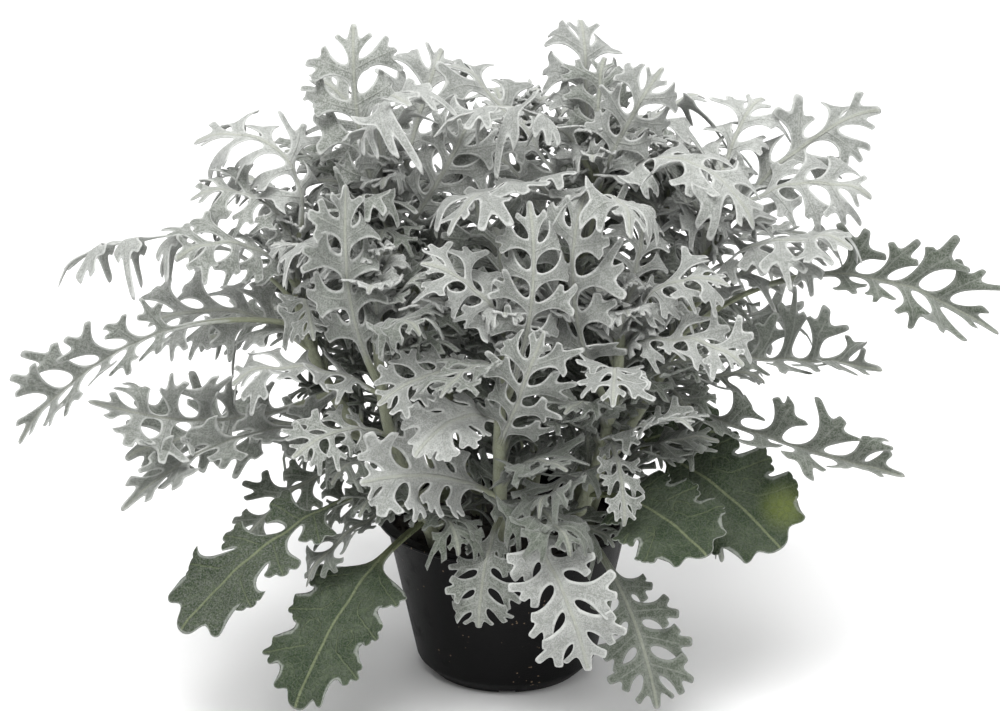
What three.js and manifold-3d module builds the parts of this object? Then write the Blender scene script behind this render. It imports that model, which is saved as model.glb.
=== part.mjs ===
// Dusty miller in its nursery pot, about 40 cm across and 28 cm tall.
// Millimetres, +Z up, origin at the centre of the pot's underside. The front of the plant faces -Y.
//
// Ten leafy shoots stand in holes in the soil. Each shoot is one piece: a woody stem with felted
// silver leaves grown from it. Low on the plant sit older leaves that have lost their felt; they
// are green, so each one is a piece of its own whose stalk ends at the skin of its stem.

import * as THREE from "three";
import * as BufferGeometryUtils from "three/addons/utils/BufferGeometryUtils.js";
import Module from "manifold-3d";

const wasm = await Module();
wasm.setup();

// ---------------------------------------------------------------- driving dimensions

const GAP = 0.3;                    // air between two pieces that touch on the real plant

const POT_SIDES = 20;
const POT_HEIGHT = 70;
const POT_RIM_RADIUS = 55;
const POT_NECK_RADIUS = 51;         // wall just under the rim
const POT_FOOT_RADIUS = 38;         // wall where the slanted foot edge starts
const POT_WALL = 1.6;
const POT_FLOOR = 2;
const POT_RIM_DEPTH = 2.4;
const POT_EDGE = 6;                 // height and width of the slanted edge round the foot
const DRAIN_COUNT = 6;
const DRAIN_SIZE = [7, 9, 3.2];     // width, depth and height of a drain notch in the foot

const SOIL_TOP = 62;
const SOIL_DOME = 3;                // rise of the soil from the wall to the middle

const STEM_FOOT_DEPTH = 52;         // height of the stems' lower ends
const STEM_RADIUS = 4.2;
const STEM_TIP_RADIUS = 2.2;
const STEM_SIDES = 5;
const STEM_STEPS = 5;

const BLADE = 0.9;                  // thickness of a blade
const STALK = 2.6;                  // thickness of a leaf stalk where it leaves the stem
const STALK_WIDTH = 3.6;
const LONG_STALK = 0.3;             // bare share of a leaf past which its stalk has a bend in it
const STALK_BEND = 0.55;            // share of a long stalk at which it bends
const LOBED_SHARE = 0.87;           // share of a leaf's length at which its last pair of lobes ends
const LOBE_ROOT = 0.8;              // depth in the rib, over the rib's half width, of a lobe's root
const STEM_MARKS = 24;              // points along a stem that leaves keep clear of
const CLEARANCE = 7;                // air that a leaf looks for to other pieces
const KIN_CLEARANCE = 5;            // and to the leaves of its own shoot
const AXIL = 18;                    // leaves of one shoot may crowd within this of their roots
const FLOOR_CLEARANCE = 4;
const SHIFT_RINGS = [0, 6, 12, 18, 24];   // how far a leaf's tip may move to find it
const SHIFT_TURNS = [0, -18, 18];         // and how far its blade may turn, in degrees
const SHIFT_COST = 0.1;

const SILVER = 0xb4bab2;
const OLD_GREEN = 0x50624c;
const STEM_RISE = new THREE.Vector3(0, 0, 1);

// ---------------------------------------------------------------- leaf forms

// petiole: bare share of the length. pairs: side lobes on each side. lobe: outline of a lobe.
// angle: degrees between a lobe and the rib. reach: half width over length. neck and head:
// lobe widths over the room between two lobes. body: whole part of the half width.
// swell: share of full length that the first and the last lobes have. rib: its half width.
const FORMS = {
  long: {
    petiole: 0.22, pairs: 5, lobe: "forked", angle: 60, reach: 0.23, neck: 0.42, head: 0.66,
    body: 0, swell: [0.6, 0.62], end: "pointed", rib: 1.7,
  },
  lacy: {
    petiole: 0.22, pairs: 4, lobe: "forked", angle: 60, reach: 0.25, neck: 0.4, head: 0.68,
    body: 0, swell: [0.6, 0.66], end: "pointed", rib: 1.8,
  },
  broad: {
    petiole: 0.24, pairs: 4, lobe: "toothed", angle: 66, reach: 0.26, neck: 0.52, head: 0.9,
    body: 0, swell: [0.6, 0.75], end: "toothed", rib: 2.8,
  },
  small: {
    petiole: 0.16, pairs: 3, lobe: "forked", angle: 56, reach: 0.27, neck: 0.5, head: 0.78,
    body: 0, swell: [0.7, 0.75], end: "pointed", rib: 2,
  },
  plain: {
    petiole: 0.2, pairs: 3, lobe: "blunt", angle: 58, reach: 0.27, neck: 0.46, head: 0.7,
    body: 0, swell: [0.6, 0.66], end: "pointed", rib: 2,
  },
  lyrate: {
    petiole: 0.3, pairs: 3, lobe: "forked", angle: 68, reach: 0.24, neck: 0.4, head: 0.9,
    body: 0.45, swell: [0.75, 0.95], end: "toothed", rib: 1.6,
  },
  old: {
    petiole: 0.26, pairs: 3, lobe: "forked", angle: 62, reach: 0.36, neck: 0.48, head: 0.94,
    body: 0.62, swell: [0.7, 0.75], end: "toothed", rib: 2,
  },
};

// Outline of a lobe from its rear to its front edge: share of its length, share of half its head.
const LOBES = {
  pointed: [[0.5, -1], [1, 0], [0.5, 1]],
  blunt: [[0.86, -1], [1, 0.8]],
  forked: [[0.86, -1], [0.84, -0.1], [1, 0.85]],
  toothed: [[0.76, -1], [0.8, -0.42], [1, 0.08], [0.84, 0.52], [0.86, 1]],
};

// ---------------------------------------------------------------- the plant

// A leaf: its form, the share of the stem's length at which it leaves it, and its tip. arch is
// how far the middle of the rib lies off the straight line, and sway how far it lies to the
// side. roll turns the blade round the rib, in degrees. toward is the direction in which the
// leaf leans, in degrees from +X to +Y, where it isn't that of the tip. width scales the
// blade's width, fold lifts its two halves from the rib, in degrees, curl lifts its lobes, and
// bare is the share of the length without lobes.
function leaf(form, at, tip, options = {}) {
  return { form, at, tip, arch: 8, sway: 0, roll: 0, width: 1, fold: 0, curl: 0.3, ...options };
}

const SHOOTS = [
  {
    name: "shoot_left",
    path: [[-30, -5], [-32, -6, 100], [-86, -30, 112], [-88, 4, 187]],
    leaves: [
      leaf("small", 0.88, [-186, -20, 184], { arch: 24, roll: 30, width: 0.6, bare: 0.3 }),
      leaf("long", 0.84, [-200, -60, 125], { arch: 22, roll: -45, fold: 50, bare: 0.4, width: 0.72 }),
      leaf("long", 0.66, [-166, -60, 144], { arch: -10, roll: -50, fold: 38 }),
      leaf("small", 0.5, [-156, -45, 114], { arch: 8, width: 0.8, roll: -30 }),
      leaf("small", 0.46, [-158, -66, 95], { arch: 18, width: 0.5, fold: 50, roll: -30 }),
      leaf("lacy", 0.97, [-130, 20, 230], { arch: 28, roll: -20 }),
      leaf("small", 0.95, [-130, -8, 214], { arch: 16, roll: -25 }),
      leaf("small", 0.92, [-134, -30, 206], { arch: 12, roll: -30 }),
      leaf("small", 0.42, [-114, -45, 73], { arch: 10, width: 0.7 }),
      leaf("small", 0.9, [-78, -52, 168], { arch: 6, toward: 250 }),
      leaf("small", 0.78, [-146, -8, 162], { arch: 12, roll: -20, width: 1.2 }),
    ],
  },
  {
    name: "shoot_front_left",
    path: [[-27, -27], [-28, -30, 85], [-56, -46, 100], [-52, -42, 186]],
    leaves: [
      leaf("broad", 0.8, [-62, -40, 232], { arch: 10, toward: 90, width: 0.8, sway: 6 }),
      leaf("small", 0.4, [-84, -66, 64], { arch: 8, width: 0.7 }),
      leaf("small", 0.78, [-112, -56, 152], { arch: 8, roll: -30 }),
      leaf("lacy", 0.66, [-86, -82, 128], { arch: 8, roll: -30 }),
      leaf("small", 0.97, [-84, -60, 204], { arch: 10, toward: 180 }),
    ],
  },
  {
    name: "shoot_front",
    path: [[-1, -33], [-2, -40, 85], [-6, -62, 125], [0, -52, 172]],
    leaves: [
      leaf("broad", 0.36, [33, -90, 38], { arch: 26, toward: 278, width: 0.92, curl: 0.1, bare: 0.3 }),
      leaf("broad", 0.32, [-12, -72, 47], { arch: 15, toward: 262, width: 1.1, curl: 0.1 }),
      leaf("broad", 0.4, [-62, -80, 114], { arch: 6, roll: -45, width: 1.15 }),
      leaf("small", 0.7, [-37, -88, 132], { arch: 9, roll: -30, width: 1.25 }),
      leaf("broad", 0.86, [-52, -80, 151], { arch: 8, roll: -35 }),
      leaf("long", 0.74, [9, -60, 230], { arch: 10, toward: 95, width: 0.85, sway: -5 }),
      leaf("small", 0.62, [14, -80, 182], { arch: 8, toward: 80 }),
      leaf("small", 0.97, [-30, -75, 209], { arch: 8, toward: 150 }),
    ],
  },
  {
    name: "shoot_front_right",
    path: [[26, -25], [27, -32, 90], [44, -50, 110], [46, -46, 172]],
    leaves: [
      leaf("broad", 0.24, [56, -84, 17], { arch: 18, toward: 285, width: 0.85, bare: 0.36 }),
      leaf("small", 0.66, [47, -78, 93], { arch: 12, width: 0.7 }),
      leaf("lacy", 0.76, [22, -66, 230], { arch: 6, toward: 80, width: 0.9, sway: 8 }),
      leaf("small", 0.6, [76, -84, 131], { arch: 6, roll: 20 }),
      leaf("small", 0.97, [89, -60, 196], { arch: 10, roll: 20 }),
      leaf("small", 0.93, [95, -72, 166], { arch: 8, roll: 25 }),
      leaf("small", 0.84, [30, -98, 160], { arch: 10 }),
      leaf("plain", 0.92, [60, -28, 216], { arch: 6, toward: 90 }),
    ],
  },
  {
    name: "shoot_right",
    path: [[32, 0], [36, -4, 110], [76, -14, 130], [83, 6, 194]],
    leaves: [
      leaf("lacy", 0.9, [153, 20, 242], { arch: 12, roll: 25, width: 0.8 }),
      leaf("lacy", 0.96, [150, -12, 218], { arch: 14, roll: 20 }),
      leaf("small", 0.88, [139, -42, 206], { arch: 8, roll: 25 }),
      leaf("lacy", 0.72, [198, -36, 164], { arch: 27, roll: 50, fold: 40, bare: 0.5, width: 0.75 }),
      leaf("long", 0.66, [150, -50, 155], { arch: 1, roll: 40, fold: 50, width: 1.1 }),
      leaf("lacy", 0.55, [161, -56, 110], { arch: -4, roll: 40, fold: 50, width: 0.8 }),
      leaf("small", 0.2, [92, -22, 56], { arch: 16, width: 0.7 }),
      leaf("small", 0.98, [112, 30, 240], { arch: 8, toward: 60 }),
      leaf("plain", 0.5, [104, -22, 134], { arch: 6, roll: 30 }),
      leaf("small", 0.8, [136, -8, 184], { arch: 8, roll: 30 }),
    ],
  },
  {
    name: "shoot_top",
    path: [[9, 6], [10, 6, 120], [30, 10, 160], [38, 2, 222]],
    leaves: [
      leaf("lacy", 0.8, [-28, 30, 262], { arch: 10, toward: 150 }),
      leaf("broad", 0.9, [32, 30, 279], { arch: 5, toward: 85, width: 1 }),
      leaf("small", 0.93, [60, -4, 270], { arch: 6, toward: 60 }),
      leaf("small", 0.9, [84, 30, 244], { arch: 8 }),
      leaf("broad", 0.86, [104, -22, 222], { arch: 28, roll: 25 }),
      leaf("lacy", 0.95, [-34, -32, 252], { arch: 20, toward: 215, width: 0.8 }),
      leaf("small", 0.84, [-25, -66, 228], { arch: 18, width: 0.9 }),
      leaf("lacy", 0.75, [64, -76, 214], { arch: 18, toward: 290 }),
      leaf("plain", 0.36, [52, 36, 132], { arch: 6 }),
      leaf("plain", 0.58, [66, 8, 188], { arch: 6 }),
      leaf("plain", 0.7, [-26, 24, 238], { arch: 8 }),
      leaf("plain", 0.46, [-14, -10, 212], { arch: 6, toward: 90 }),
      leaf("plain", 0.16, [34, -12, 116], { arch: 4, toward: 90 }),
    ],
  },
  {
    name: "shoot_upper_left",
    path: [[-11, 9], [-14, 10, 120], [-44, 12, 150], [-50, 8, 208]],
    leaves: [
      leaf("lacy", 0.9, [-62, 12, 281], { arch: 10, toward: 95, width: 1.05, sway: 6 }),
      leaf("small", 0.95, [-30, -34, 268], { arch: 14, toward: 300 }),
      leaf("small", 0.88, [-88, 22, 250], { arch: 10, toward: 165 }),
      leaf("small", 0.84, [-66, -42, 222], { arch: 14, toward: 250 }),
      leaf("small", 0.9, [-30, 52, 262], { arch: 8, toward: 80 }),
      leaf("plain", 0.3, [-48, 36, 120], { arch: 6 }),
      leaf("plain", 0.42, [-4, -12, 158], { arch: 6 }),
      leaf("plain", 0.66, [-8, 26, 206], { arch: 6 }),
      leaf("plain", 0.5, [-42, -18, 186], { arch: 6, toward: 90 }),
      leaf("plain", 0.86, [-20, 4, 250], { arch: 6, toward: 90 }),
    ],
  },
  {
    name: "shoot_back_left",
    path: [[-24, 24], [-30, 32, 100], [-66, 60, 130], [-70, 66, 190]],
    leaves: [
      leaf("plain", 0.22, [-92, 26, 84], { arch: 6 }),
    ],
  },
  {
    name: "shoot_back",
    path: [[3, 34], [4, 44, 110], [10, 62, 150], [8, 66, 215]],
    leaves: [
      leaf("plain", 0.24, [62, 50, 98], { arch: 8 }),
      leaf("plain", 0.18, [-56, 54, 90], { arch: 8 }),
    ],
  },
  {
    name: "shoot_back_right",
    path: [[27, 22], [32, 30, 100], [64, 56, 130], [70, 62, 196]],
    leaves: [
      leaf("plain", 0.22, [98, 22, 80], { arch: 6 }),
    ],
  },
];

// Old green leaves, which lie flatter: the shoot that each one grows from, then as any leaf.
const OLD_CURL = 0.1;
const OLD_LEAVES = [
  ["shoot_front_left", "lyrate", 0.5, [-132, -82, 52], { arch: 12, width: 0.78, roll: -20 }],
  ["shoot_front_left", "old", 0.3, [-86, -96, 24], { arch: 14, toward: 246, width: 0.66, bare: 0.38 }],
  ["shoot_front_right", "old", 0.4, [80, -84, 86], { arch: 8, roll: 25, bare: 0.3, width: 0.9 }],
  ["shoot_right", "old", 0.36, [112, -50, 74], { arch: 8, roll: 30, bare: 0.34, width: 0.9 }],
  ["shoot_right", "old", 0.28, [90, 8, 106], { arch: 6, roll: 25, bare: 0.4 }],
];

// Leaves that fill the plant out behind, by rule: a golden-angle turn from leaf to leaf, long
// and low ones at the foot of the shoot and short, steep ones at its tip.
const FILL = {
  count: 5, lowest: 0.32, highest: 0.97, turn: 137.5, spread: 0.42,
  longest: 118, shortest: 62, lowClimb: 2, highClimb: 72,
};
const FILLED_SHOOTS = ["shoot_back_left", "shoot_back", "shoot_back_right"];

// ---------------------------------------------------------------- small helpers

const vector = (point) => new THREE.Vector3(...point);
const radians = (degrees) => (degrees * Math.PI) / 180;
const between = (low, high, share) => low + (high - low) * share;

function stemCurve(shoot) {
  const [foot, ...rest] = shoot.path;
  return new THREE.CubicBezierCurve3(
    vector([...foot, STEM_FOOT_DEPTH]), ...rest.map(vector));
}

// ---------------------------------------------------------------- the blade's outline

// The flat net of a leaf: points [a, b] with a along the rib and b across it, and triangles.
function bladeNet(form, length, halfWidth, bare) {
  const points = [];
  const faces = [];
  const bladeStart = bare * length;
  const room = (LOBED_SHARE * length - bladeStart) / form.pairs;
  const lean = radians(form.angle);
  const headRoom = form.head * room * Math.sin(lean) / 2;

  const add = (a, b) => points.push([a, b]) - 1;
  const face = (i, j, k) => {
    const [p, q, r] = [points[i], points[j], points[k]];
    const area = (q[0] - p[0]) * (r[1] - p[1]) - (q[1] - p[1]) * (r[0] - p[0]);
    faces.push(area > 0 ? [i, j, k] : [i, k, j]);
  };
  const fullness = (a) => {
    const share = THREE.MathUtils.clamp((a - bladeStart) / (length - bladeStart), 0, 1);
    return share < 0.5
      ? between(form.swell[0], 1, share * 2)
      : between(1, form.swell[1], share * 2 - 1);
  };
  const ribWidth = (a) => {
    if (a < bladeStart) return between(STALK_WIDTH / 2, form.rib, a / bladeStart);
    return Math.max(form.rib, form.body * halfWidth * fullness(a));
  };

  // Stations along the rib: root, bend of a long stalk, end of the stalk where the blade is
  // whole, and both edges of each lobe.
  const stations = bare > LONG_STALK ? [0, bladeStart * STALK_BEND] : [0];
  if (form.body > 0) stations.push(bladeStart * 0.98);
  const lobes = [];
  for (let pair = 0; pair < form.pairs; pair += 1) {
    const centre = bladeStart + room * (pair + 0.5);
    const halfNeck = form.neck * room / 2 + (form.body > 0 ? room * 0.2 : 0);
    lobes.push(stations.length);
    stations.push(centre - halfNeck, centre + halfNeck);
  }
  const rows = stations.map((a) => {
    const width = ribWidth(a);
    const row = [add(a, -width), add(a, width)];
    if (form.body > 0) row.push(add(a, 0));
    return row;
  });
  for (let step = 0; step + 1 < rows.length; step += 1) {
    const [here, next] = [rows[step], rows[step + 1]];
    const columns = form.body > 0 ? [[0, 2], [2, 1]] : [[0, 1]];
    for (const [left, right] of columns) {
      face(here[left], next[left], next[right]);
      face(here[left], next[right], here[right]);
    }
  }

  // A lobe stands on two points of the rib's edge, or on three where the blade is whole there.
  const lobe = (outline, base, origin, along, across, reach, spread) => {
    const corners = outline.map(([u, v]) => add(
      origin[0] + along[0] * u * reach + across[0] * v * spread,
      origin[1] + along[1] * u * reach + across[1] * v * spread));
    const [rear, front] = [base[0], base[base.length - 1]];
    if (corners.length === 2) {
      face(rear, corners[0], corners[1]);
      face(rear, corners[1], front);
      return;
    }
    if (corners.length === 3) {
      face(rear, corners[0], corners[1]);
      face(rear, corners[1], front);
      face(corners[1], corners[2], front);
      return;
    }
    face(rear, corners[0], corners[1]);
    face(corners[1], corners[2], corners[3]);
    face(corners[3], corners[4], front);
    const middle = base.length === 3 ? base[1] : rear;
    if (base.length === 3) face(rear, corners[1], middle);
    face(middle, corners[1], corners[3]);
    face(middle, corners[3], front);
  };

  for (const station of lobes) {
    for (const side of [-1, 1]) {
      const column = side < 0 ? 0 : 1;
      const centre = (stations[station] + stations[station + 1]) / 2;
      const width = ribWidth(centre);
      const depth = width * LOBE_ROOT;
      const reach = (halfWidth * fullness(centre) - depth) / Math.sin(lean);
      lobe(
        LOBES[form.lobe], [rows[station][column], rows[station + 1][column]],
        [centre, side * depth],
        [Math.cos(lean), side * Math.sin(lean)], [Math.sin(lean), -side * Math.cos(lean)],
        reach, headRoom);
    }
  }
  const last = rows[rows.length - 1];
  const end = stations[stations.length - 1];
  const endSpread = Math.max(headRoom * 1.1, form.body * halfWidth * 0.6);
  const endBase = form.body > 0 ? [last[0], last[2], last[1]] : [last[0], last[1]];
  lobe(LOBES[form.end], endBase, [end, 0], [1, 0], [0, 1], length - end, endSpread);
  return { points, faces, bladeStart };
}

// ---------------------------------------------------------------- a leaf in space

// Lays the flat net along an arched rib. Gives the middle surface, its normals and thicknesses.
function layLeaf(spec, root, tip, roll) {
  const form = FORMS[spec.form];
  const chord = tip.clone().sub(root);
  const lean = spec.toward === undefined
    ? new THREE.Vector3(chord.x, chord.y, 0).normalize()
    : new THREE.Vector3(Math.cos(radians(spec.toward)), Math.sin(radians(spec.toward)), 0);
  const across = new THREE.Vector3().crossVectors(STEM_RISE, lean);
  const bulge = new THREE.Vector3().crossVectors(chord.clone().normalize(), across).normalize();
  const middle = root.clone().add(tip).multiplyScalar(0.5)
    .addScaledVector(bulge, spec.arch).addScaledVector(across, spec.sway);
  const control = middle.clone().multiplyScalar(2)
    .addScaledVector(root, -0.5).addScaledVector(tip, -0.5);
  const rib = new THREE.QuadraticBezierCurve3(root, control, tip);
  const fold = radians(spec.fold);
  const length = root.distanceTo(middle) + middle.distanceTo(tip);
  const halfWidth = form.reach * length * spec.width;
  const net = bladeNet(form, length, halfWidth, spec.bare ?? form.petiole);

  const surface = net.points.map(([a, b]) => {
    const share = Math.min(a / length, 1);
    const along = rib.getTangent(share);
    const side = across.clone().addScaledVector(along, -across.dot(along)).normalize();
    const up = new THREE.Vector3().crossVectors(along, side);
    const turn = radians(roll) * Math.min(a / net.bladeStart, 1);
    const turnedSide = side.clone().multiplyScalar(Math.cos(turn))
      .addScaledVector(up, Math.sin(turn));
    const turnedUp = up.clone().multiplyScalar(Math.cos(turn))
      .addScaledVector(side, -Math.sin(turn));
    const offset = Math.abs(b) / halfWidth;
    const lift = Math.abs(b) * Math.sin(fold) + spec.curl * halfWidth * offset * offset;
    const slope = (Math.sin(fold) + 2 * spec.curl * offset) * Math.sign(b);
    const place = rib.getPoint(share)
      .addScaledVector(along, Math.max(a - length, 0))
      .addScaledVector(turnedSide, b * Math.cos(fold))
      .addScaledVector(turnedUp, lift);
    const normal = turnedUp.multiplyScalar(Math.cos(fold))
      .addScaledVector(turnedSide, -slope).normalize();
    const stalk = Math.max(1 - a / net.bladeStart, 0);
    return { place, normal, half: between(BLADE, STALK, stalk) / 2 };
  });
  return { surface, faces: net.faces };
}

// ---------------------------------------------------------------- finding clear air

// Points of what is already placed, with the stem and the piece that they belong to. root is
// where a leaf leaves its stem, and null for the points of a stem.
const placed = [];

function markStem(shoot) {
  for (const place of stemCurve(shoot).getPoints(STEM_MARKS)) {
    placed.push({ place, stem: shoot, piece: shoot, root: null });
  }
}

// How badly a leaf crowds what is placed, the pot and the ground; 0 is clear air all round.
function crowding(points, root, stem, piece) {
  const box = new THREE.Box3().setFromPoints(points).expandByScalar(CLEARANCE + STEM_RADIUS);
  const near = placed.filter((other) => box.containsPoint(other.place));
  let total = 0;
  for (const point of points) {
    const inAxil = point.distanceTo(root) < AXIL;
    let missing = 0;
    for (const other of near) {
      const girth = other.root === null ? STEM_RADIUS : 0;
      const wanted = (piece === other.piece ? KIN_CLEARANCE : CLEARANCE) + girth;
      const distance = point.distanceTo(other.place);
      if (wanted - distance <= missing) continue;
      const ownStem = other.root === null && other.stem === stem;
      const bothInAxil = other.root !== null && other.place.distanceTo(other.root) < AXIL;
      if (inAxil && (ownStem || (piece === other.piece && bothInAxil))) continue;
      missing = wanted - distance;
    }
    total += missing ** 2;
    const overPot = Math.max(POT_RIM_RADIUS + CLEARANCE - Math.hypot(point.x, point.y), 0);
    const underRim = Math.max(POT_HEIGHT + CLEARANCE - point.z, 0);
    if (!inAxil) total += Math.min(overPot, underRim) ** 2;
    total += Math.max(FLOOR_CLEARANCE - point.z, 0) ** 2 * 4;
  }
  return total;
}

// Points all over a leaf: its corners and the middles of its faces.
function probes(laid) {
  const corners = laid.surface.map((entry) => entry.place);
  const middles = laid.faces.map(([i, j, k]) => new THREE.Vector3()
    .add(corners[i]).add(corners[j]).add(corners[k]).divideScalar(3));
  const halfway = laid.faces.flatMap(([i, j, k]) => [
    corners[i].clone().lerp(corners[j], 0.5),
    corners[j].clone().lerp(corners[k], 0.5),
  ]);
  return [...corners, ...middles, ...halfway];
}

// Places a leaf at its stated tip, or as near to it as finds clear air.
function placeLeaf(spec, shoot, piece) {
  const root = stemCurve(shoot).getPoint(spec.at);
  const wanted = vector(spec.tip);
  const chord = wanted.clone().sub(root).normalize();
  const sideways = new THREE.Vector3().crossVectors(STEM_RISE, chord).normalize();
  const upward = new THREE.Vector3().crossVectors(chord, sideways);
  let best = null;
  for (const ring of SHIFT_RINGS) {
    for (let step = 0; step < (ring === 0 ? 1 : 8); step += 1) {
      for (const turn of SHIFT_TURNS) {
        const angle = radians(45 * step);
        const tip = wanted.clone()
          .addScaledVector(sideways, ring * Math.cos(angle))
          .addScaledVector(upward, ring * Math.sin(angle));
        const laid = layLeaf(spec, root, tip, spec.roll + turn);
        const points = probes(laid);
        const cost = crowding(points, root, shoot, piece) + ring * ring * SHIFT_COST;
        if (best === null || cost < best.cost) best = { cost, laid, points };
      }
    }
    if (best.cost < ring * ring * SHIFT_COST + 1) break;
  }
  for (const place of best.points) placed.push({ place, stem: shoot, piece, root });
  return best.laid;
}

// ---------------------------------------------------------------- solids

function toManifold(geometry) {
  geometry.deleteAttribute("normal");
  geometry.deleteAttribute("uv");
  const merged = BufferGeometryUtils.mergeVertices(geometry, 1e-4);
  const solid = new wasm.Manifold(new wasm.Mesh({
    numProp: 3,
    vertProperties: new Float32Array(merged.attributes.position.array),
    triVerts: new Uint32Array(merged.index.array),
  }));
  return solid;
}

function toGeometry(solid) {
  const mesh = solid.getMesh();
  const geometry = new THREE.BufferGeometry();
  geometry.setAttribute("position", new THREE.BufferAttribute(mesh.vertProperties, 3));
  geometry.setIndex(new THREE.BufferAttribute(mesh.triVerts, 1));
  return geometry;
}

// The largest body of a solid; loose scraps and sealed hollows are left out.
function mainBody(solid) {
  const bodies = solid.decompose().filter((body) => body.volume() > 0);
  return bodies.reduce((largest, body) => (body.volume() > largest.volume() ? body : largest));
}

// A blade with its two faces split into the same triangles, and walls round its outline.
function leafSolid(laid) {
  const count = laid.surface.length;
  const vertices = new Float32Array(count * 6);
  laid.surface.forEach(({ place, normal, half }, index) => {
    const above = place.clone().addScaledVector(normal, half);
    const below = place.clone().addScaledVector(normal, -half);
    vertices.set(above.toArray(), index * 3);
    vertices.set(below.toArray(), (index + count) * 3);
  });
  const edges = new Set();
  const triangles = [];
  for (const [i, j, k] of laid.faces) {
    triangles.push(i, j, k, i + count, k + count, j + count);
    for (const [from, to] of [[i, j], [j, k], [k, i]]) edges.add(`${from} ${to}`);
  }
  for (const edge of edges) {
    const [from, to] = edge.split(" ").map(Number);
    if (edges.has(`${to} ${from}`)) continue;
    triangles.push(from, from + count, to + count, from, to + count, to);
  }
  return new wasm.Manifold(new wasm.Mesh({
    numProp: 3, vertProperties: vertices, triVerts: new Uint32Array(triangles),
  }));
}

// A stem that tapers from its foot to its tip. extra makes it fatter and longer at the foot.
function stemSolid(shoot, extra) {
  const curve = stemCurve(shoot);
  curve.v0.z -= extra;
  const section = new THREE.Shape();
  for (let corner = 0; corner < STEM_SIDES; corner += 1) {
    const angle = (2 * Math.PI * corner) / STEM_SIDES;
    const [x, y] = [Math.cos(angle), Math.sin(angle)];
    if (corner === 0) section.moveTo(x, y);
    else section.lineTo(x, y);
  }
  const tube = new THREE.ExtrudeGeometry(section, {
    steps: STEM_STEPS, bevelEnabled: false, extrudePath: curve,
  });
  const rings = curve.getSpacedPoints(STEM_STEPS);
  const positions = tube.attributes.position;
  const vertex = new THREE.Vector3();
  for (let index = 0; index < positions.count; index += 1) {
    vertex.fromBufferAttribute(positions, index);
    let ring = 0;
    rings.forEach((centre, step) => {
      if (vertex.distanceTo(centre) < vertex.distanceTo(rings[ring])) ring = step;
    });
    const radius = between(STEM_RADIUS, STEM_TIP_RADIUS, ring / STEM_STEPS) + extra;
    vertex.sub(rings[ring]).multiplyScalar(radius).add(rings[ring]);
    positions.setXYZ(index, vertex.x, vertex.y, vertex.z);
  }
  return toManifold(tube);
}

function latheSolid(profile, sides) {
  const geometry = new THREE.LatheGeometry(
    profile.map(([radius, height]) => new THREE.Vector2(radius, height)), sides);
  geometry.rotateX(Math.PI / 2);
  return toManifold(geometry);
}

// ---------------------------------------------------------------- pot and soil

// Radius of the pot's inner wall at a height above its foot edge.
function insideRadius(height) {
  const share = (height - POT_EDGE) / (POT_HEIGHT - POT_EDGE);
  return between(POT_FOOT_RADIUS, POT_NECK_RADIUS, share) - POT_WALL;
}

function potSolid() {
  const rimFoot = POT_HEIGHT - POT_RIM_DEPTH;
  let pot = latheSolid([
    [0, 0],
    [POT_FOOT_RADIUS - POT_EDGE, 0],
    [POT_FOOT_RADIUS, POT_EDGE],
    [POT_NECK_RADIUS, rimFoot],
    [POT_RIM_RADIUS, rimFoot + 1],
    [POT_RIM_RADIUS, POT_HEIGHT],
    [POT_NECK_RADIUS - POT_WALL, POT_HEIGHT],
    [POT_FOOT_RADIUS - POT_WALL, POT_EDGE],
    [POT_FOOT_RADIUS - POT_EDGE, POT_FLOOR],
    [0, POT_FLOOR],
  ], POT_SIDES);
  for (let index = 0; index < DRAIN_COUNT; index += 1) {
    const notch = new THREE.BoxGeometry(...DRAIN_SIZE);
    notch.translate(0, -(POT_FOOT_RADIUS - POT_EDGE), 0);
    notch.rotateZ((2 * Math.PI * index) / DRAIN_COUNT);
    pot = pot.subtract(toManifold(notch));
  }
  return mainBody(pot);
}

function soilSolid(stems) {
  const edge = insideRadius(SOIL_TOP) - GAP;
  let soil = latheSolid([
    [0, POT_FLOOR + GAP],
    [POT_FOOT_RADIUS - POT_EDGE - GAP, POT_FLOOR + GAP],
    [insideRadius(POT_EDGE) - GAP, POT_EDGE + GAP],
    [edge, SOIL_TOP],
    [0, SOIL_TOP + SOIL_DOME],
  ], POT_SIDES);
  for (const stem of stems) soil = soil.subtract(stem);
  return mainBody(soil);
}

// ---------------------------------------------------------------- assembly

function fillLeaves(shoot) {
  const curve = stemCurve(shoot);
  const tipOfStem = curve.getPoint(1);
  const outward = (Math.atan2(tipOfStem.y, tipOfStem.x) * 180) / Math.PI;
  const leaves = [];
  for (let index = 0; index < FILL.count; index += 1) {
    const share = (index + 0.5) / FILL.count;
    const at = between(FILL.lowest, FILL.highest, share);
    const turned = ((FILL.turn * index + 180) % 360) - 180;
    const heading = radians(outward + turned * FILL.spread);
    const climb = radians(between(FILL.lowClimb, FILL.highClimb, share ** 1.5));
    const length = between(FILL.longest, FILL.shortest, share)
      * (1 - 0.25 * Math.abs(turned) / 180);
    const tip = curve.getPoint(at).add(new THREE.Vector3(
      length * Math.cos(climb) * Math.cos(heading),
      length * Math.cos(climb) * Math.sin(heading),
      length * Math.sin(climb)));
    leaves.push(leaf("plain", at, tip.toArray(), { arch: length * 0.16 }));
  }
  return leaves;
}

const plant = new THREE.Group();

function addPiece(name, solid, color, roughness) {
  const material = new THREE.MeshStandardMaterial({ color, roughness, metalness: 0 });
  const mesh = new THREE.Mesh(toGeometry(solid), material);
  mesh.name = name;
  plant.add(mesh);
}

for (const shoot of SHOOTS) markStem(shoot);
const shootNamed = (name) => SHOOTS.find((shoot) => shoot.name === name);
const grown = new Map(SHOOTS.map((shoot) => [shoot, []]));

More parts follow.
